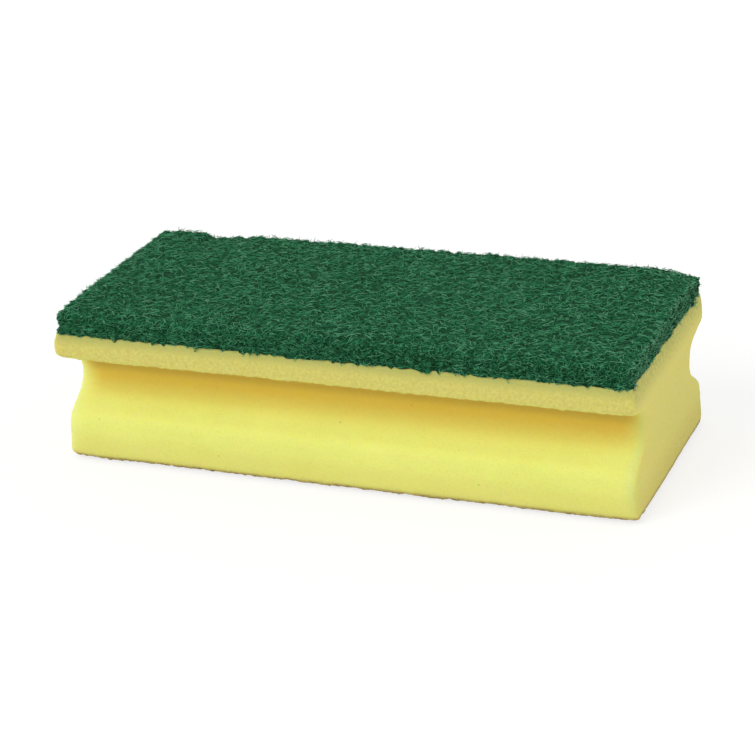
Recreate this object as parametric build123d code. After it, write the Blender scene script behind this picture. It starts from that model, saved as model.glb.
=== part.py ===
"""Finger-grip cleaning sponge: a contour-cut foam block with a scouring pad bonded to its top.

Millimetres, +Z up. The origin is the middle of the foam's underside, X runs along the sponge
and Y across it, so both finger grooves run along X.
"""

from build123d import *
import os

# Driving dimensions
LENGTH = 150.0
WIDTH = 61.0
FOAM_HEIGHT = 35.3
PAD_THICKNESS = 5.7

# Foam section, on the +Y half: the lip under the pad, the finger groove and the shoulder below it
LIP_EDGE_THICKNESS = 6.6
LIP_ROOT_THICKNESS = 10.4
GROOVE_DEPTH = 10.3
GROOVE_FLOOR_HEIGHT = 18.2
SHOULDER_HEIGHT = 12.8
SHOULDER_INSET = 1.1
WIDEST_HEIGHT = 7.9

# Radii of the section's corners, from the lip down to the base
LIP_TOP_RADIUS = 0.6
LIP_EDGE_RADIUS = 0.8
GROOVE_ROOT_RADIUS = 2.6
GROOVE_FLOOR_RADIUS = 4.0
SHOULDER_RADIUS = 4.0
WIDEST_RADIUS = 6.0
BASE_RADIUS = 3.4

# The pad's corners in plan, where the cut fibres round them off
PAD_CORNER_RADIUS = 1.5


def half_section_corners():
    """Corners of the foam's +Y half from the lip's top down to the base, each with its radius."""
    half = WIDTH / 2
    groove_wall = half - GROOVE_DEPTH
    return [
        ((half, FOAM_HEIGHT), LIP_TOP_RADIUS),
        ((half, FOAM_HEIGHT - LIP_EDGE_THICKNESS), LIP_EDGE_RADIUS),
        ((groove_wall, FOAM_HEIGHT - LIP_ROOT_THICKNESS), GROOVE_ROOT_RADIUS),
        ((groove_wall, GROOVE_FLOOR_HEIGHT), GROOVE_FLOOR_RADIUS),
        ((half - SHOULDER_INSET, SHOULDER_HEIGHT), SHOULDER_RADIUS),
        ((half, WIDEST_HEIGHT), WIDEST_RADIUS),
        ((half, 0.0), BASE_RADIUS),
    ]


def foam_section():
    """The whole section in the YZ plane, closed and with every corner rounded."""
    right = half_section_corners()
    left = [((-across, height), radius) for (across, height), radius in reversed(right)]
    points = [point for point, _ in right + left]
    radii = [radius for _, radius in right + left]
    outline = FilletPolyline(*points, radius=radii, close=True)
    return Plane.YZ * make_face(outline)


def foam_body():
    """One piece of foam, cut to the same section along its whole length."""
    return extrude(foam_section(), amount=LENGTH / 2, both=True)


def scouring_pad():
    """The non-woven pad, as large as the foam's top and bonded to it face to face."""
    plan = RectangleRounded(LENGTH, WIDTH, PAD_CORNER_RADIUS)
    return extrude(Plane.XY.offset(FOAM_HEIGHT) * plan, amount=PAD_THICKNESS)


def main():
    os.makedirs("parts", exist_ok=True)
    for name, solid in (("foam_body", foam_body()), ("scouring_pad", scouring_pad())):
        export_step(solid, f"parts/{name}.step")
        print(name, round(solid.volume), "mm3", solid.bounding_box().size)


main()
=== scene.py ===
"""Looks of the cleaning sponge: open-cell foam under a scouring pad of crimped, matted fibres.

Everything is in metres in the part's frame: X along the sponge, Y across it and Z up.
"""

import math

import bpy
import numpy as np
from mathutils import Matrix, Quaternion, Vector, geometry, noise


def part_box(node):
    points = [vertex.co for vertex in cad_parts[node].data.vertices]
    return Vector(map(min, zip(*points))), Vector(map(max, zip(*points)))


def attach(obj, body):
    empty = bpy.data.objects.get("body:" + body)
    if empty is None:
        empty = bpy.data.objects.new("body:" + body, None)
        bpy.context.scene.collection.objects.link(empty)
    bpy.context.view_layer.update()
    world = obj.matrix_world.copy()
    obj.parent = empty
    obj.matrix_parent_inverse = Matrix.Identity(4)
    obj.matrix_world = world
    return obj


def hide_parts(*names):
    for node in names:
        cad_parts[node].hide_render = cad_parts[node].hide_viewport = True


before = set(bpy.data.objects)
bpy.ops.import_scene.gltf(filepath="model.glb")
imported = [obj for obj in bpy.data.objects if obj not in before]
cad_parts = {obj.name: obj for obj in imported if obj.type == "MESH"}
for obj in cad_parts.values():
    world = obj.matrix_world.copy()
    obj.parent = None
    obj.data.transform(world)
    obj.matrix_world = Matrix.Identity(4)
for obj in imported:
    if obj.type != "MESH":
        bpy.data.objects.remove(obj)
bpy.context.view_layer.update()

MM = 0.001
FOAM_LOW, FOAM_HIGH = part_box("foam_body")
PAD_LOW, PAD_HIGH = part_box("scouring_pad")
HALF_LENGTH = FOAM_HIGH.x
HALF_WIDTH = FOAM_HIGH.y
PAD_THICKNESS = PAD_HIGH.z - PAD_LOW.z
ON_PLANE = 0.01 * MM

# Foam mesh: point spacings, how far in from the sides the coarse ones start, and the height that
# the whole outline can be seen from
FOAM_SPACING = 0.5 * MM
HIDDEN_SPACING = 4.0 * MM
HIDDEN_MARGIN = 3 * MM
BASE_SPACING = 2.0 * MM
BASE_MARGIN = 7 * MM
WALK_STEP = 0.05 * MM
SIGHT_HEIGHT = 27 * MM

# Foam shape: the section, how the ends were cut, and how near the pad or floor it is held flat
LIP_UNDERSIDE = FOAM_HIGH.z - 6.6 * MM
GROOVE_DEPTH = 10.3 * MM
END_ROUNDING = 8.0 * MM
ROUNDING_PASSES = 75
LEFT_SWELL = 1.5 * MM
RIGHT_SWELL = 0.75 * MM
LEFT_FLARE = 0.7 * MM
RIGHT_FLARE = 0.25 * MM
HELD_FLAT = 0.05 * MM

# Pad: the matted core, which droops less than the fibres, and the loose fibres that cover it
CORE_SPACING = 0.8 * MM
CORE_INSET = 0.1 * MM
CORE_DRAPE = 0.6
PAD_CORNER_RADIUS = 1.0 * MM
FIBRE_RADIUS = 0.076 * MM
FIBRE_SIDES = 3
LOOSE_DEPTH = 0.8 * MM
# Painted light: how much paler the fibres on the pad's two cut ends are painted
END_PAINTED_LIGHT = 0.28

# Fibres in one layer. A pair of sides has: whether it runs along X, fibres in each, ends in each
FIBRE_LAYERS = 4
FIRST_SEED = 40
TOP_FIBRES = 4900
SIDE_PAIRS = ((True, 470, 480), (False, 200, 230))

# How far the pad's top drops at three of its edges, and how far in the drop reaches
LEFT_DROP = 0.7 * MM
RIGHT_DROP = 0.4 * MM
FRONT_DROP = 0.9 * MM
DROP_REACH = 1.2 * MM

# Colours painted on the foam: painted shade under the pad, a painted contact shadow at the floor, and
# brown specks
UNDER_PAD_SHADE = (0.34, 0.40, 0.13, 1)
CONTACT_SHADOW = (0.30, 0.20, 0.08, 1)
SPECK_BROWN = (0.50, 0.32, 0.10, 1)

# Camera, light and floor
CAMERA_AZIMUTH = math.radians(23.48)
CAMERA_ELEVATION = math.radians(23.93)
CAMERA_ROLL = math.radians(-4.21)
CAMERA_DISTANCE = 615 * MM
CAMERA_AIM = Vector((-0.83, -1.28, 18.0)) * MM
CAMERA_LENS = 115.08
SENSOR_WIDTH = 36
SUN_AZIMUTH = math.radians(-35)
SUN_ELEVATION = math.radians(42)
SUN_SIZE = math.radians(35)
SUN_STRENGTH = 1.2
ROOM_STRENGTH = 0.68
FLOOR_HALF = 4.0
FLOOR_SINK = 0.3 * MM
FLOOR_GLOW = 0.74


# ---------------------------------------------------------------- helpers

def smooth_step(low, high, value):
    """0 below low, 1 above high, and a smooth rise between them."""
    share = np.clip((value - low) / (high - low), 0, 1)
    return share * share * (3 - 2 * share)


def noise_at(points, size):
    """Noise from -1 to 1 at each point, with lumps about size across."""
    return np.array([noise.noise(place) for place in (points / size).tolist()])


def mesh_piece(name, points, faces):
    """A new smooth-shaded mesh object in the scene."""
    mesh = bpy.data.meshes.new(name)
    mesh.from_pydata(points, [], faces)
    mesh.shade_smooth()
    piece = bpy.data.objects.new(name, mesh)
    bpy.context.scene.collection.objects.link(piece)
    return piece


def points_of(mesh):
    """The mesh's points, one to a row."""
    places = np.zeros(len(mesh.vertices) * 3)
    mesh.vertices.foreach_get("co", places)
    return places.reshape(-1, 3)


def normals_of(mesh):
    """The outward direction at each point, one to a row."""
    directions = np.zeros(len(mesh.vertices) * 3)
    mesh.vertex_normals.foreach_get("vector", directions)
    return directions.reshape(-1, 3)


def move_points(mesh, places):
    """Puts the mesh's points at the places given, one to a row."""
    mesh.vertices.foreach_set("co", places.ravel())
    mesh.update()


def store_field(mesh, name, values):
    """Keeps one number per point on the mesh, for its material to read."""
    field = mesh.attributes.new(name, "FLOAT", "POINT")
    field.data.foreach_set("value", values.ravel())


def edges_of(mesh):
    """The two point numbers of each edge, one edge to a row."""
    ends = np.zeros(len(mesh.edges) * 2, int)
    mesh.edges.foreach_get("vertices", ends)
    return ends.reshape(-1, 2)


def relaxed(places, edges, weight, passes):
    """Moves each point towards the middle of its neighbours, as far as its own weight says."""
    first, second = edges.T
    counts = np.bincount(edges.ravel(), minlength=len(places))
    for _ in range(passes):
        middles = np.stack([
            (np.bincount(first, places[second, axis], len(places))
             + np.bincount(second, places[first, axis], len(places))) / counts
            for axis in range(3)
        ], 1)
        places = places + weight[:, None] * (middles - places)
    return places


# ---------------------------------------------------------------- foam block

def section_outline():
    """The foam's section as (y, z) points in order, read from the CAD node where it is cut at +X.

    From a point just under the lips the whole outline is in plain sight, so angles put it in order.
    """
    places = points_of(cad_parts["foam_body"].data)
    at_end = places[places[:, 0] > HALF_LENGTH - ON_PLANE][:, 1:]
    corners = np.unique(at_end.round(6), axis=0)
    turn = np.arctan2(corners[:, 1] - SIGHT_HEIGHT, corners[:, 0])
    return corners[np.argsort(turn)]


def wanted_spacing(places):
    """Fine where the foam shows, and coarse under the pad and on the flat base."""
    across, height = np.abs(places[:, 0]), places[:, 1]
    spacing = np.full(len(places), FOAM_SPACING)
    on_base = (height < ON_PLANE) & (across < HALF_WIDTH - BASE_MARGIN)
    under_pad = (height > FOAM_HIGH.z - ON_PLANE) & (across < HALF_WIDTH - HIDDEN_MARGIN)
    spacing[on_base] = BASE_SPACING
    spacing[under_pad] = HIDDEN_SPACING
    return spacing


def respaced(outline):
    """The closed outline with new points, at the spacing wanted at each place."""
    closed = np.vstack([outline, outline[:1]])
    along = np.concatenate([[0], np.cumsum(np.linalg.norm(np.diff(closed, axis=0), axis=1))])
    fine = np.arange(0, along[-1], WALK_STEP)
    places = np.stack([np.interp(fine, along, closed[:, axis]) for axis in (0, 1)], 1)
    tally = np.cumsum(WALK_STEP / wanted_spacing(places))
    wanted = np.linspace(tally[0], tally[-1], round(tally[-1]), endpoint=False)
    chosen = np.interp(wanted, tally, fine)
    return np.stack([np.interp(chosen, along, closed[:, axis]) for axis in (0, 1)], 1)


def inside(places, outline):
    """Whether each place is inside the closed outline, by counting the edges above it."""
    start, end = outline, np.roll(outline, -1, axis=0)
    x, y = places[:, :1], places[:, 1:]
    spans = (start[:, 0] > x) != (end[:, 0] > x)
    run = np.where(start[:, 0] == end[:, 0], 1, end[:, 0] - start[:, 0])
    height = start[:, 1] + (x - start[:, 0]) * (end[:, 1] - start[:, 1]) / run
    return (spans & (height > y)).sum(1) % 2 == 1


def cap_points(outline):
    """A staggered grid of points inside the outline, clear of its edge."""
    rows = np.arange(FOAM_LOW.z, FOAM_HIGH.z, FOAM_SPACING * 0.87)
    columns = np.arange(-HALF_WIDTH, HALF_WIDTH, FOAM_SPACING)
    grid = np.array([(y + 0.5 * FOAM_SPACING * (row % 2), z)
                     for row, z in enumerate(rows) for y in columns])
    grid = grid[inside(grid, outline)]
    clearance = np.concatenate([
        np.linalg.norm(part[:, None] - outline, axis=2).min(1) for part in np.array_split(grid, 20)
    ])
    return grid[clearance > 0.6 * FOAM_SPACING]


def cap_triangles(outline, grid):
    """Triangles between the outline's points and the grid's, facing +X."""
    flat = [Vector(place) / MM for place in np.vstack([outline, grid]).tolist()]
    rim = [(i, (i + 1) % len(outline)) for i in range(len(outline))]
    _, _, faces, origins, _, _ = geometry.delaunay_2d_cdt(flat, rim, [], 1, 1e-5)
    return [[origins[corner][0] for corner in face] for face in faces]


def foam_mesh():
    """The section swept along X as one closed grid, with a triangulated cap at each end."""
    outline = respaced(section_outline())
    grid = cap_points(outline)
    stations = np.linspace(FOAM_LOW.x, FOAM_HIGH.x, round(2 * HALF_LENGTH / FOAM_SPACING) + 1)
    around, rings = len(outline), len(stations)
    side = np.array([(x, y, z) for x in stations for y, z in outline])
    caps = [np.column_stack([np.full(len(grid), x), grid]) for x in (stations[0], stations[-1])]

    quads = [[ring * around + j, ring * around + (j + 1) % around,
              (ring + 1) * around + (j + 1) % around, (ring + 1) * around + j]
             for ring in range(rings - 1) for j in range(around)]
    triangles = cap_triangles(outline, grid)

    def cap_faces(rim_start, grid_start, order):
        return [[(rim_start + i if i < around else grid_start + i - around) for i in face[::order]]
                for face in triangles]

    low_cap = cap_faces(0, rings * around, -1)
    high_cap = cap_faces((rings - 1) * around, rings * around + len(grid), 1)
    return np.vstack([side, *caps]), quads + low_cap + high_cap


def rounded_ends(mesh):
    """Swells both cut ends and softens their edges, less so at the base, the lip and the pad."""
    x, y, z = points_of(mesh).T
    near_end = 1 - smooth_step(0, END_ROUNDING, HALF_LENGTH - np.abs(x))
    swell = np.where(x > 0, RIGHT_SWELL, -LEFT_SWELL) * near_end
    below_pad = 1 - smooth_step(FOAM_HIGH.z - 3 * MM, FOAM_HIGH.z, z)
    off_base = 0.25 + 0.75 * smooth_step(1 * MM, 6 * MM, z)
    below_lip = 1 - 0.85 * smooth_step(LIP_UNDERSIDE - 6 * MM, LIP_UNDERSIDE, z)
    softness = 0.5 * near_end * off_base * below_lip * below_pad
    places = np.stack([x + swell * below_pad, y, z], 1)
    return relaxed(places, edges_of(mesh), softness, ROUNDING_PASSES)


def flared(places):
    """Both ends lean outwards above the grooves, where the cut strayed from upright."""
    x, y, z = places.T
    high = smooth_step(20 * MM, 33 * MM, z)
    near_end = smooth_step(HALF_LENGTH - 15 * MM, HALF_LENGTH, np.abs(x))
    return np.stack([x + np.where(x > 0, RIGHT_FLARE, -LEFT_FLARE) * high * near_end, y, z], 1)


def edge_band(distance, width):
    """1 along an edge and 0 away from it, where distance is measured from the edge."""
    return np.exp(-((distance / width) ** 2))


def foam_relief(places):
    """How far each point of the foam's surface stands out: slow swells, cells and torn edges."""
    swell = 0.14 * noise_at(places, 22 * MM) + 0.07 * noise_at(places + 1, 7 * MM)
    grain = 0.07 * noise_at(places, 1.3 * MM) + 0.05 * noise_at(places + 2, 0.7 * MM)
    across, height = np.abs(places[:, 1]), places[:, 2]
    base_edge = edge_band(height, 1.6 * MM) * smooth_step(20 * MM, 25 * MM, across)
    lip_edge = edge_band(height - LIP_UNDERSIDE, 0.8 * MM) * smooth_step(27 * MM, 29 * MM, across)
    tears = 0.28 * noise_at(places + 3, 1.9 * MM) + 0.26 * noise_at(places + 4, 0.8 * MM)
    return (swell + grain + (base_edge + lip_edge) * tears) * MM


def long_sides(normals):
    """1 on the front and back of the foam, and 0 on its two cut ends."""
    return 1 - smooth_step(0.3, 0.8, np.abs(normals[:, 0]))


def groove_shade(places):
    """1 deep in the finger grooves, where light goes from wall to wall, and 0 out in the open."""
    height = places[:, 2]
    depth = (HALF_WIDTH - np.abs(places[:, 1])) / GROOVE_DEPTH
    below_lip = 1 - smooth_step(LIP_UNDERSIDE, LIP_UNDERSIDE + 1 * MM, height)
    from_end = smooth_step(0, 6 * MM, HALF_LENGTH - np.abs(places[:, 0]))
    rise = smooth_step(14.4 * MM, 20.8 * MM, height)
    return rise * smooth_step(0, 0.6, depth) * below_lip * (0.2 + 0.8 * from_end)


def lip_shadow(places):
    """1 in the top of each groove, close under the lip, and 0 from there down and near the ends."""
    height = places[:, 2]
    inner = smooth_step(0.6, 0.9, (HALF_WIDTH - np.abs(places[:, 1])) / GROOVE_DEPTH)
    from_end = smooth_step(0, 5 * MM, HALF_LENGTH - np.abs(places[:, 0]))
    under_lip = smooth_step(20.6 * MM, 23.4 * MM, height) * (1 - smooth_step(26 * MM, 28 * MM, height))
    return inner * from_end * under_lip


def end_shade(places, normals):
    """Painted shade: 1 on the two cut ends, a warmer tan for the less direct light there. It fades in
    from the front and back, where light comes through the foam.
    """
    lit_edge = 1 - smooth_step(0, 8 * MM, HALF_WIDTH - np.abs(places[:, 1]))
    below_lip = 1 - smooth_step(LIP_UNDERSIDE - 4 * MM, LIP_UNDERSIDE + 3 * MM, places[:, 2])
    return smooth_step(0.3, 0.95, np.abs(normals[:, 0])) * (1 - 0.8 * lit_edge * below_lip)


def corner_light(places, normals):
    """Painted light: 1 along the upright corners below the lip, which are painted paler."""
    below_lip = 1 - smooth_step(LIP_UNDERSIDE - 6 * MM, LIP_UNDERSIDE, places[:, 2])
    return 0.7 * below_lip * edge_band(np.abs(normals[:, 0]) - 0.45, 0.3)


def under_pad_shade(places, normals):
    """How far painted shade under the pad comes down into the foam, further on the cut ends."""
    reach = (8 - 4.6 * long_sides(normals)) * MM
    return smooth_step(FOAM_HIGH.z - reach, FOAM_HIGH.z - 0.2 * MM, places[:, 2])


def base_shade(places):
    """Painted shade, greyer towards the floor, most of all in the last two millimetres."""
    height = places[:, 2]
    low = 1 - smooth_step(3 * MM, 11 * MM, height)
    lowest = 1 - smooth_step(0.3 * MM, 2.4 * MM, height)
    return 0.25 * low + 0.75 * lowest


def foam_block():
    """The yellow foam, in place of its plain CAD solid."""
    piece = mesh_piece("foam_block", *foam_mesh())
    mesh = piece.data
    move_points(mesh, rounded_ends(mesh))
    places, normals = points_of(mesh), normals_of(mesh)
    height = places[:, 2]
    lip = smooth_step(LIP_UNDERSIDE - 1 * MM, LIP_UNDERSIDE + 0.8 * MM, height)
    store_field(mesh, "groove_shade", groove_shade(places) * long_sides(normals))
    store_field(mesh, "lip_shadow", lip_shadow(places) * long_sides(normals))
    # painted shade: the lip's front is painted duller and tanner
    store_field(mesh, "painted_lip_shade", lip * long_sides(normals))
    # painted shade under the pad, reaching further down on the cut ends
    store_field(mesh, "painted_pad_shade", under_pad_shade(places, normals))
    # painted shade towards the floor
    store_field(mesh, "painted_base_shade", base_shade(places))
    # painted contact shadow: a dark line along the floor
    store_field(mesh, "painted_contact_shadow", 1 - smooth_step(0.4 * MM, 2.2 * MM, height))
    # painted shade on the two cut ends, with paler edges where light comes through the foam
    store_field(mesh, "painted_end_shade", end_shade(places, normals))
    # painted light: paler upright corners below the lip
    store_field(mesh, "painted_corner_light", corner_light(places, normals))
    hidden = height > FOAM_HIGH.z - HELD_FLAT
    on_floor = height < HELD_FLAT
    relief = np.where(hidden | on_floor, 0, foam_relief(places))
    move_points(mesh, flared(places + normals * relief[:, None]))
    mesh.materials.append(foam_material())
    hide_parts("foam_body")
    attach(piece, "root")


# ---------------------------------------------------------------- scouring pad

def near_corner(x, y, reach):
    """1 at a corner of the pad and 0 away from it, where x and y are distances from the corner."""
    return np.exp(-((np.hypot(x, y) / reach) ** 2))


def top_drop(x, y):
    """How far the pad's top has sunk: rounded edges, two worn back corners and a dent by a tuft."""
    drop = 0
    for amount, from_edge in ((LEFT_DROP, x + HALF_LENGTH), (RIGHT_DROP, HALF_LENGTH - x),
                              (FRONT_DROP, y + HALF_WIDTH)):
        drop = drop + amount * np.exp(-np.clip(from_edge, 0, None) / DROP_REACH)
    drop = drop + 1.3 * MM * near_corner(x - HALF_LENGTH, y - HALF_WIDTH, 6 * MM)
    drop = drop + 0.3 * MM * near_corner(x + HALF_LENGTH, y - HALF_WIDTH, 6 * MM)
    dent = smooth_step(-61.6 * MM, -60.8 * MM, x) * (1 - smooth_step(-60 * MM, -44 * MM, x))
    return drop + 1.2 * MM * dent * smooth_step(14 * MM, 26 * MM, y)


def nubs(places, seed, broad):
    """A ragged edge's wander, in millimetres: a broad wave under small tufts."""
    return (0.3 * noise_at(places + seed, broad) + 0.6 * noise_at(places + seed + 5, 2.2 * MM)
            + 0.9 * noise_at(places + seed + 15, 1.0 * MM))


def pad_warp(places, drape_share=1.0):
    """The pad as it was cut and has been used: nubby wavy edges, and a rim draped over the foam.

    drape_share is how much of the drape this layer of the pad takes.
    """
    x, y, z = flared(places).T
    upper = smooth_step(PAD_LOW.z, PAD_LOW.z + 2 * MM, z)
    lean = 0.6 + 0.4 * upper
    along_y, along_x, flat = places * (0, 1, 0.6), places * (1, 0, 0.6), places * (1, 1, 0)
    sag = 0.15 * noise_at(flat + 7, 9 * MM) + 0.25 * noise_at(flat + 12, 1.9 * MM)
    hollow = 0.3 * MM * smooth_step(-12 * MM, 8 * MM, y) * smooth_step(30 * MM, 70 * MM, -x)
    side = smooth_step(HALF_WIDTH - 1 * MM, HALF_WIDTH, np.abs(y))
    end = smooth_step(HALF_LENGTH - 1 * MM, HALF_LENGTH, np.abs(x))
    drape = np.clip(0.7 * noise_at(flat + 9, 7 * MM) + 1.7 * noise_at(flat + 13, 1.0 * MM), 0, 1)
    hang = drape_share * np.maximum(side, end) * (1 - upper) * drape * MM
    sunk = (z - PAD_LOW.z) / PAD_THICKNESS * top_drop(x, y)
    x = x + lean * MM * nubs(along_y, 5, 6 * MM) * x / HALF_LENGTH + upper * hollow
    y = y + lean * MM * nubs(along_x, 6, 7 * MM) * y / HALF_WIDTH
    x, y = x + 0.5 * hang * end * np.sign(x), y + 0.5 * hang * side * np.sign(y)
    z = z + upper * (MM * sag - sunk) - 1.1 * hang
    return np.stack([x, y, z], 1)


def rounded_corners(places):
    """Pulls points in from the pad's four upright corners to its corner radius."""
    inner = np.array([HALF_LENGTH, HALF_WIDTH]) - PAD_CORNER_RADIUS
    past = np.abs(places[:, :2]) - inner
    reach = np.hypot(*np.clip(past, 0, None).T)
    outside = (past > 0).all(1) & (reach > PAD_CORNER_RADIUS)
    pulled = inner + past * (PAD_CORNER_RADIUS / np.where(outside, reach, 1))[:, None]
    flat = np.where(outside[:, None], np.sign(places[:, :2]) * pulled, places[:, :2])
    return np.column_stack([flat, places[:, 2]])


def box_grid(low, high, spacing):
    """A closed box: even quads on its top and sides, and one flat face underneath."""
    counts = [round((b - a) / spacing) for a, b in zip(low, high)]
    index, points, faces = {}, [], []

    def corner(key):
        if key not in index:
            index[key] = len(points)
            points.append([a + (b - a) * k / n for a, b, k, n in zip(low, high, key, counts)])
        return index[key]

    def side(axis, end):
        u, v = (axis + 1) % 3, (axis + 2) % 3
        for i in range(counts[u]):
            for j in range(counts[v]):
                keys = []
                for di, dj in ((0, 0), (1, 0), (1, 1), (0, 1)):
                    key = [0, 0, 0]
                    key[axis], key[u], key[v] = end, i + di, j + dj
                    keys.append(tuple(key))
                faces.append([corner(key) for key in (keys if end else keys[::-1])])

    for axis in (0, 1):
        side(axis, 0)
        side(axis, counts[axis])
    side(2, counts[2])
    across, along = counts[:2]
    rim = ([(i, 0, 0) for i in range(across)] + [(across, j, 0) for j in range(along)]
           + [(i, along, 0) for i in range(across, 0, -1)] + [(0, j, 0) for j in range(along, 0, -1)])
    faces.append([corner(key) for key in rim[::-1]])
    return np.array(points), faces


def pad_core():
    """The matted inside of the pad, which shows dark between the fibres."""
    low = PAD_LOW + Vector((CORE_INSET, CORE_INSET, 0))
    high = PAD_HIGH - Vector((CORE_INSET, CORE_INSET, CORE_INSET))
    piece = mesh_piece("pad_core", *box_grid(low, high, CORE_SPACING))
    mesh = piece.data
    places = points_of(mesh)
    upper = smooth_step(PAD_LOW.z, PAD_LOW.z + 1.5 * MM, places[:, 2])
    lumps = 0.2 * noise_at(places, 2.2 * MM) + 0.16 * noise_at(places + 8, 1.2 * MM)
    places = places + normals_of(mesh) * (lumps * upper * MM)[:, None]
    move_points(mesh, pad_warp(rounded_corners(places), CORE_DRAPE))
    mesh.materials.append(core_material())
    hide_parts("scouring_pad")
    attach(piece, "root")


def folded(values, limit):
    """Turns back what runs past plus or minus limit, as fibres turn back at the pad's edge."""
    over = np.abs(values) > limit
    return np.where(over, np.sign(values) * (2 * limit - np.abs(values)), values)


def crimped_paths(rng, count, steps, half_u, half_v, length, turned, overhang):
    """Wavy paths on a flat patch, as (fibre, step) arrays of u, v and distance along the fibre."""
    lengths = rng.uniform(*length, (count, 1))
    along = lengths * np.linspace(-0.5, 0.5, steps + 1)
    turn = rng.uniform(-turned, turned, (count, 1))
    curl = rng.normal(0, 0.14, (count, 1)) / MM * along
    crimp = rng.uniform(0, 0.6, (count, 1))
    wave = rng.uniform(2.0, 3.4, (count, 1)) * MM
    phase = rng.uniform(0, 2 * math.pi, (count, 1))
    heading = turn + curl + crimp * np.sin(2 * math.pi * along / wave + phase)
    pace = lengths / steps
    u = np.cumsum(np.cos(heading) * pace, 1)
    v = np.cumsum(np.sin(heading) * pace, 1)
    u += rng.uniform(-half_u, half_u, (count, 1)) - u.mean(1, keepdims=True)
    v += rng.uniform(-half_v, half_v, (count, 1)) - v.mean(1, keepdims=True)
    limit_u = half_u + rng.uniform(*overhang, (count, 1))
    limit_v = half_v + rng.uniform(*overhang, (count, 1))
    return folded(u, limit_u), folded(v, limit_v), along


def depth_waves(rng, along):
    """How deep each fibre lies, with rises and dips along it."""
    count = len(along)
    depth = LOOSE_DEPTH * rng.uniform(0, 1, (count, 1)) ** 1.2
    tilt = rng.normal(0, 0.08, (count, 1)) * along
    wave = rng.uniform(2.2, 4.0, (count, 1)) * MM
    phase = rng.uniform(0, 2 * math.pi, (count, 1))
    rise = 0.15 * MM * rng.uniform(0.3, 1, (count, 1)) * np.sin(2 * math.pi * along / wave + phase)
    return depth + tilt + rise


def top_fibres(rng, count):
    """Fibres that lie along the top of the pad: paths, the way they face, and their depth."""
    u, v, along = crimped_paths(rng, count, 4, HALF_LENGTH, HALF_WIDTH,
                                (1.2 * MM, 2.4 * MM), 1.45, (-0.5 * MM, 0.1 * MM))
    depth = depth_waves(rng, along)
    z = PAD_HIGH.z + 0.4 * MM - depth
    return np.stack([u, v, z], 2), np.array([0, 0, 1.0]), depth


def on_side(run, out, z, along_x, sign):
    """Paths in the pad's upright side, and the way it faces: Y, or X if not along_x."""
    if along_x:
        return np.stack([run, sign * out, z], 2), np.array([0, sign, 0.0])
    return np.stack([sign * out, run, z], 2), np.array([sign, 0, 0.0])


def side_fibres(rng, count, along_x, sign):
    """Fibres in one upright side of the pad, most of them nearly level as they lie in the sheet."""
    half_run, face = (HALF_LENGTH, HALF_WIDTH) if along_x else (HALF_WIDTH, HALF_LENGTH)
    run, up, along = crimped_paths(rng, count, 4, half_run, PAD_THICKNESS / 2,
                                   (1.4 * MM, 2.8 * MM), 0.7, (-0.2 * MM, 0.3 * MM))
    depth = depth_waves(rng, along)
    z = (PAD_LOW.z + PAD_HIGH.z) / 2 + up
    return *on_side(run, face + 0.15 * MM - depth, z, along_x, sign), depth


def cut_ends(rng, count, along_x, sign):
    """Short ends that stick out of one upright side, most of them high up, where the knife came in."""
    half_run, face = (HALF_LENGTH, HALF_WIDTH) if along_x else (HALF_WIDTH, HALF_LENGTH)
    reach = 0.4 + 0.6 * rng.uniform(0, 1, (count, 1)) ** 3
    out = np.linspace(-1, 1, 4) * reach * MM
    lean = rng.normal(0, 0.5, (2, count, 1))
    bend = rng.normal(0, 0.35, (2, count, 1)) / MM
    run = rng.uniform(-half_run, half_run, (count, 1)) + lean[0] * out + bend[0] * out**2
    below_top = PAD_THICKNESS * rng.uniform(0, 1, (count, 1)) ** 1.6
    z = PAD_HIGH.z + 0.2 * MM - below_top + lean[1] * out + bend[1] * out**2
    return *on_side(run, face - 0.35 * MM + out, z, along_x, sign), 0.3 * MM - out


def fibre_tubes(paths, facing):
    """Closed three-sided tubes along the paths, as points, side faces and end faces."""
    count, stations, _ = paths.shape
    ahead = np.gradient(paths, axis=1)
    ahead /= np.linalg.norm(ahead, axis=2, keepdims=True) + 1e-12
    side = np.cross(ahead, facing + 0.01)
    side /= np.linalg.norm(side, axis=2, keepdims=True) + 1e-12
    over = np.cross(side, ahead)
    taper = np.sin(np.linspace(0.35, math.pi - 0.35, stations)) ** 0.35
    rings = []
    for corner in range(FIBRE_SIDES):
        angle = 2 * math.pi * corner / FIBRE_SIDES
        offset = math.cos(angle) * side + math.sin(angle) * over
        rings.append(paths + FIBRE_RADIUS * taper[None, :, None] * offset)
    points = np.stack(rings, 2).reshape(-1, 3)

    corner = np.arange(FIBRE_SIDES)
    beside = (corner + 1) % FIBRE_SIDES
    start = np.arange(count)[:, None] * stations * FIBRE_SIDES
    base = start[:, :, None] + np.arange(stations - 1)[None, :, None] * FIBRE_SIDES
    quads = np.stack([base + corner, base + beside,
                      base + FIBRE_SIDES + beside, base + FIBRE_SIDES + corner], 3).reshape(-1, 4)
    last = start + (stations - 1) * FIBRE_SIDES
    lids = np.concatenate([start + corner[::-1], last + corner])
    return points, quads, lids


def bake_cells(first, total, count, steps):
    """A flat map for a group's faces, in the order of fibre_tubes: each fibre has its own cell."""
    across = math.ceil(math.sqrt(total))
    cell = first + np.arange(count)
    corner = np.stack([cell % across, cell // across], 1)
    u = (np.arange(steps)[:, None, None] + [0, 0, 1, 1]) / steps
    v = (np.arange(FIBRE_SIDES)[None, :, None] + [0, 1, 1, 0]) / FIBRE_SIDES
    sides = np.stack(np.broadcast_arrays(0.05 + 0.75 * u, 0.05 + 0.9 * v), 3)
    sides = corner[:, None, None, None] + sides
    first_lid = corner[:, None] + np.array([(0.83, 0.1), (0.89, 0.1), (0.83, 0.9)])
    lids = np.concatenate([first_lid, first_lid + (0.08, 0)])
    return np.concatenate([sides.reshape(-1, 2), lids.reshape(-1, 2)]) / across


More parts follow.
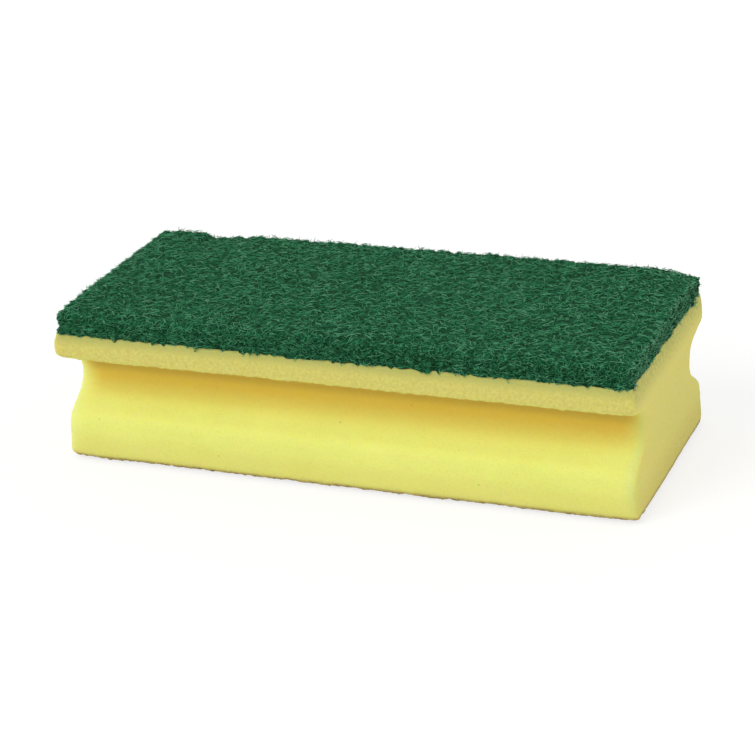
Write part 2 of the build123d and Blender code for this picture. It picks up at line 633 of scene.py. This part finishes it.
def fibre_layer(name, groups, rng, material):
    """One piece of the pad's loose fibres. Its own dye, and how high it lies, give a fibre's tone: the
    lower parts get painted shade.

    Fibres are painted a little paler on the pad's two cut ends, as painted light.
    """
    points, faces, tones, flat = [], [], [], []
    first_point, first_fibre = 0, 0
    total = sum(len(paths) for paths, _, _ in groups)
    for paths, facing, depth in groups:
        tube_points, quads, lids = fibre_tubes(paths, facing)
        points.append(tube_points)
        faces += (quads + first_point).tolist() + (lids + first_point).tolist()
        dye = rng.uniform(0, 1, (len(paths), 1))
        # painted shade darkens the deeper parts of each fibre, and painted light makes those on the cut
        # ends paler
        tone = 0.55 * dye + 0.45 * np.clip(1 - depth / LOOSE_DEPTH, 0, 1)
        tone = tone + END_PAINTED_LIGHT * abs(facing[0])
        tones.append(np.repeat(tone, FIBRE_SIDES))
        flat.append(bake_cells(first_fibre, total, len(paths), paths.shape[1] - 1))
        first_point += len(tube_points)
        first_fibre += len(paths)
    points = pad_warp(rounded_corners(np.vstack(points)))
    piece = mesh_piece(name, points, faces)
    piece.data.uv_layers.new(name="OFBake").data.foreach_set("uv", np.vstack(flat).ravel())
    store_field(piece.data, "fibre_dye_and_shade", np.concatenate(tones))
    piece.data.materials.append(material)
    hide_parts("scouring_pad")
    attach(piece, "root")


def pad_fibres():
    """Layers of fibres, each of them over the whole pad."""
    material = fibre_material()
    for layer in range(FIBRE_LAYERS):
        rng = np.random.default_rng(FIRST_SEED + layer)
        groups = [top_fibres(rng, TOP_FIBRES)]
        for along_x, sides, ends in SIDE_PAIRS:
            for sign in (-1, 1):
                groups.append(side_fibres(rng, sides, along_x, sign))
                groups.append(cut_ends(rng, ends, along_x, sign))
        fibre_layer(f"pad_fibres_{layer + 1}", groups, rng, material)


# ---------------------------------------------------------------- materials

def new_material(name):
    """A new material, with its node tree and its shader."""
    material = bpy.data.materials.new(name)
    material.use_nodes = True
    return material, material.node_tree, material.node_tree.nodes["Principled BSDF"]


def add_node(tree, kind, values=(), **settings):
    """A new node with its own settings, and its inputs set to values or linked to outputs."""
    node = tree.nodes.new(kind)
    for name, value in settings.items():
        setattr(node, name, value)
    for name, value in dict(values).items():
        if isinstance(value, bpy.types.NodeSocket):
            tree.links.new(value, node.inputs[name])
        else:
            node.inputs[name].default_value = value
    return node


def mixed_colour(tree, share, first, second, blend="MIX"):
    """The mix of two colours by share. Each is a colour or another node's output."""
    node = add_node(tree, "ShaderNodeMix", data_type="RGBA", blend_type=blend)
    for place, value in ((0, share), (6, first), (7, second)):
        if isinstance(value, bpy.types.NodeSocket):
            tree.links.new(value, node.inputs[place])
        else:
            node.inputs[place].default_value = value
    return node.outputs[2]


def colour_ramp(tree, share, stops):
    """The colour at share along a ramp, whose stops are places from 0 to 1 with their colours."""
    node = add_node(tree, "ShaderNodeValToRGB", {"Fac": share})
    ramp = node.color_ramp
    for place, colour in stops[1:-1]:
        ramp.elements.new(place).color = (*colour, 1)
    ramp.elements[0].position, ramp.elements[0].color = stops[0][0], (*stops[0][1], 1)
    ramp.elements[-1].position, ramp.elements[-1].color = stops[-1][0], (*stops[-1][1], 1)
    return node.outputs["Color"]


def calculated(tree, operation, *values):
    """The result of one operation on values, each a number or another node's output."""
    return add_node(tree, "ShaderNodeMath", dict(enumerate(values)), operation=operation).outputs[0]


def noise_texture(tree, place, size, detail=0.0, **inputs):
    """Soft noise with lumps about size across."""
    values = {"Vector": place, "Scale": 1 / size, "Detail": detail, **inputs}
    return add_node(tree, "ShaderNodeTexNoise", values).outputs["Fac"]


def voronoi_distance(tree, place, size):
    """Distance to the nearest of many scattered points about size apart, as a share of size."""
    values = {"Vector": place, "Scale": 1 / size}
    return add_node(tree, "ShaderNodeTexVoronoi", values).outputs["Distance"]


def attribute(tree, name):
    """The number that store_field kept under this name."""
    return add_node(tree, "ShaderNodeAttribute", attribute_name=name).outputs["Fac"]


def foam_material():
    """Yellow polyurethane foam: fine open cells, warm where light is trapped in the grooves."""
    material, tree, shader = new_material("foam")
    place = add_node(tree, "ShaderNodeTexCoord").outputs["Object"]
    cells = voronoi_distance(tree, place, 0.62 * MM)
    fine = noise_texture(tree, place, 0.45 * MM, 2.0)
    colour = colour_ramp(tree, noise_texture(tree, place, 14 * MM, 3.0), [
        (0.3, (0.80, 0.83, 0.205)),
        (0.7, (0.85, 0.865, 0.232)),
    ])
    # painted colour fields: painted shade on the cut ends, painted light along the upright corners, and
    # painted shade low down, in the grooves and under the lip
    for field, tint in (
        ("painted_end_shade", (0.92, 0.815, 0.218, 1)),
        ("painted_corner_light", (0.78, 0.84, 0.290, 1)),
        ("painted_base_shade", (0.74, 0.58, 0.160, 1)),
        ("groove_shade", (0.87, 0.64, 0.105, 1)),
        ("lip_shadow", (0.72, 0.52, 0.095, 1)),
    ):
        colour = mixed_colour(tree, attribute(tree, field), colour, tint)

    mottle = noise_texture(tree, place, 0.8 * MM, 3.0)
    # painted shade on the lip: duller and tanner
    lip_shaded = colour_ramp(tree, mottle, [(0.3, (0.66, 0.59, 0.155)), (0.65, (0.745, 0.695, 0.200))])
    colour = mixed_colour(tree, attribute(tree, "painted_lip_shade"), colour, lip_shaded)
    # painted shade under the pad, broken up by the mottle
    shade_under_pad = calculated(tree, "MULTIPLY", attribute(tree, "painted_pad_shade"), mottle)
    colour = mixed_colour(tree, shade_under_pad, colour, UNDER_PAD_SHADE)
    # painted contact shadow along the floor, broken up by the mottle
    floor_shadow = calculated(tree, "MULTIPLY", attribute(tree, "painted_contact_shadow"), mottle)
    floor_shadow = calculated(tree, "MULTIPLY", floor_shadow, 1.6)
    colour = mixed_colour(tree, floor_shadow, colour, CONTACT_SHADOW)

    pits = colour_ramp(tree, fine, [(0.3, (0.90, 0.87, 0.74)), (0.5, (1, 1, 1))])
    colour = mixed_colour(tree, 0.4, colour, pits, "MULTIPLY")
    speck = calculated(tree, "LESS_THAN", voronoi_distance(tree, place, 9 * MM), 0.035)
    colour = mixed_colour(tree, calculated(tree, "MULTIPLY", speck, 0.35), colour, SPECK_BROWN)
    tree.links.new(colour, shader.inputs["Base Color"])
    bump = add_node(tree, "ShaderNodeBump", {
        "Height": calculated(tree, "ADD", cells, fine), "Strength": 0.5, "Distance": 0.12 * MM,
    })
    tree.links.new(bump.outputs["Normal"], shader.inputs["Normal"])
    shader.inputs["Roughness"].default_value = 0.9
    shader.inputs["Specular IOR Level"].default_value = 0.15
    shader.inputs["Subsurface Weight"].default_value = 0.6
    shader.inputs["Subsurface Radius"].default_value = (1.0, 0.62, 0.15)
    shader.inputs["Subsurface Scale"].default_value = 3.5 * MM
    return material


def strands(tree, place):
    """A mat of crossing wavy lines, 1 along a strand and 0 in the gaps between them."""
    mat = 0.0
    for turn in (0.2, 1.2, 2.3):
        stretched = add_node(tree, "ShaderNodeMapping", {
            "Vector": place, "Rotation": (0.5 * turn, 0.3, turn), "Scale": (0.45, 1.0, 1.0),
        }).outputs["Vector"]
        lumps = noise_texture(tree, stretched, 0.75 * MM, Distortion=0.4)
        off_line = calculated(tree, "ABSOLUTE", calculated(tree, "SUBTRACT", lumps, 0.5))
        strand = calculated(tree, "MULTIPLY_ADD", off_line, -14.0, 1.0)
        mat = calculated(tree, "MAXIMUM", strand, mat)
    return mat


def core_material():
    """The resin-bound mat under the loose fibres: strands over near-black gaps, which are painted shade.
    """
    material, tree, shader = new_material("matted_core")
    place = add_node(tree, "ShaderNodeTexCoord").outputs["Object"]
    mat = strands(tree, place)
    # the near-black gaps are painted shade in the depth of the mat
    colour = colour_ramp(tree, mat, [
        (0.0, (0.002, 0.030, 0.010)),
        (0.5, (0.010, 0.090, 0.036)),
        (1.0, (0.030, 0.170, 0.078)),
    ])
    tree.links.new(colour, shader.inputs["Base Color"])
    bump = add_node(tree, "ShaderNodeBump", {"Height": mat, "Strength": 0.8, "Distance": 0.3 * MM})
    tree.links.new(bump.outputs["Normal"], shader.inputs["Normal"])
    shader.inputs["Roughness"].default_value = 0.8
    shader.inputs["Specular IOR Level"].default_value = 0.1
    return material


def fibre_material():
    """Dyed nylon fibres coated in resin, from near black low down to pale teal on top: partly dye,
    partly painted shade on the deeper fibres.
    """
    material, tree, shader = new_material("scouring_fibres")
    place = add_node(tree, "ShaderNodeTexCoord").outputs["Object"]
    green = colour_ramp(tree, attribute(tree, "fibre_dye_and_shade"), [
        (0.15, (0.002, 0.076, 0.025)),
        (0.45, (0.012, 0.184, 0.070)),
        (0.72, (0.064, 0.338, 0.150)),
        (0.95, (0.170, 0.460, 0.252)),
    ])
    patches = noise_texture(tree, place, 20 * MM, 2.0)
    teal = mixed_colour(tree, patches, (0.85, 0.95, 0.8, 1), (1.05, 1.05, 1.2, 1))
    colour = mixed_colour(tree, 1.0, green, teal, "MULTIPLY")
    tree.links.new(colour, shader.inputs["Base Color"])
    shader.inputs["Roughness"].default_value = 0.6
    shader.inputs["Specular IOR Level"].default_value = 0.15
    return material


# ---------------------------------------------------------------- stage

def camera_ray_share(tree):
    """1 for what the camera sees directly, in a mirror or through glass, and 0 for lighting."""
    path = add_node(tree, "ShaderNodeLightPath")
    seen = path.outputs["Is Camera Ray"]
    for name in ("Is Glossy Ray", "Is Transmission Ray"):
        seen = calculated(tree, "MAXIMUM", seen, path.outputs[name])
    return seen


def white_floor():
    """A wide pale floor, lifted to white for the camera alone, so that it keeps the shadow."""
    points = [(x * FLOOR_HALF, y * FLOOR_HALF, 0) for x, y in ((-1, -1), (1, -1), (1, 1), (-1, 1))]
    floor = mesh_piece("floor", points, [(0, 1, 2, 3)])
    floor.location.z = -FLOOR_SINK
    material, tree, shader = new_material("floor")
    seen = camera_ray_share(tree)
    pale = mixed_colour(tree, seen, (0.8, 0.8, 0.8, 1), (0.3, 0.3, 0.3, 1))
    tree.links.new(pale, shader.inputs["Base Color"])
    shader.inputs["Roughness"].default_value = 1.0
    shader.inputs["Specular IOR Level"].default_value = 0.0
    shader.inputs["Emission Color"].default_value = (1, 1, 1, 1)
    tree.links.new(calculated(tree, "MULTIPLY", seen, FLOOR_GLOW), shader.inputs["Emission Strength"])
    floor.data.materials.append(material)


def studio_light():
    """An even pale room, and one soft lamp from the front left."""
    world = bpy.data.worlds.new("studio")
    world.use_nodes = True
    bpy.context.scene.world = world
    tree = world.node_tree
    sky = tree.nodes["Background"]
    sky.inputs["Color"].default_value = (1, 1, 1, 1)
    extra = calculated(tree, "MULTIPLY", camera_ray_share(tree), 1 - ROOM_STRENGTH)
    tree.links.new(calculated(tree, "ADD", extra, ROOM_STRENGTH), sky.inputs["Strength"])
    lamp = bpy.data.objects.new("key", bpy.data.lights.new("key", "SUN"))
    lamp.data.energy = SUN_STRENGTH
    lamp.data.angle = SUN_SIZE
    towards = Vector((math.sin(SUN_AZIMUTH) * math.cos(SUN_ELEVATION),
                      -math.cos(SUN_AZIMUTH) * math.cos(SUN_ELEVATION),
                      math.sin(SUN_ELEVATION)))
    lamp.rotation_mode = "QUATERNION"
    lamp.rotation_quaternion = towards.to_track_quat("Z", "Y")
    bpy.context.scene.collection.objects.link(lamp)


def photo_camera():
    """The camera, above and in front of the sponge to its right, turned a little about its axis."""
    camera = bpy.data.objects.new("camera", bpy.data.cameras.new("camera"))
    camera.data.sensor_width = SENSOR_WIDTH
    camera.data.lens = CAMERA_LENS
    back = Vector((math.sin(CAMERA_AZIMUTH) * math.cos(CAMERA_ELEVATION),
                   -math.cos(CAMERA_AZIMUTH) * math.cos(CAMERA_ELEVATION),
                   math.sin(CAMERA_ELEVATION)))
    camera.location = CAMERA_AIM + CAMERA_DISTANCE * back
    camera.rotation_mode = "QUATERNION"
    camera.rotation_quaternion = back.to_track_quat("Z", "Y") @ Quaternion((0, 0, 1), CAMERA_ROLL)
    bpy.context.scene.collection.objects.link(camera)
    bpy.context.scene.camera = camera


foam_block()
pad_core()
pad_fibres()
white_floor()
studio_light()
photo_camera()
bpy.context.scene.view_settings.view_transform = "Standard"
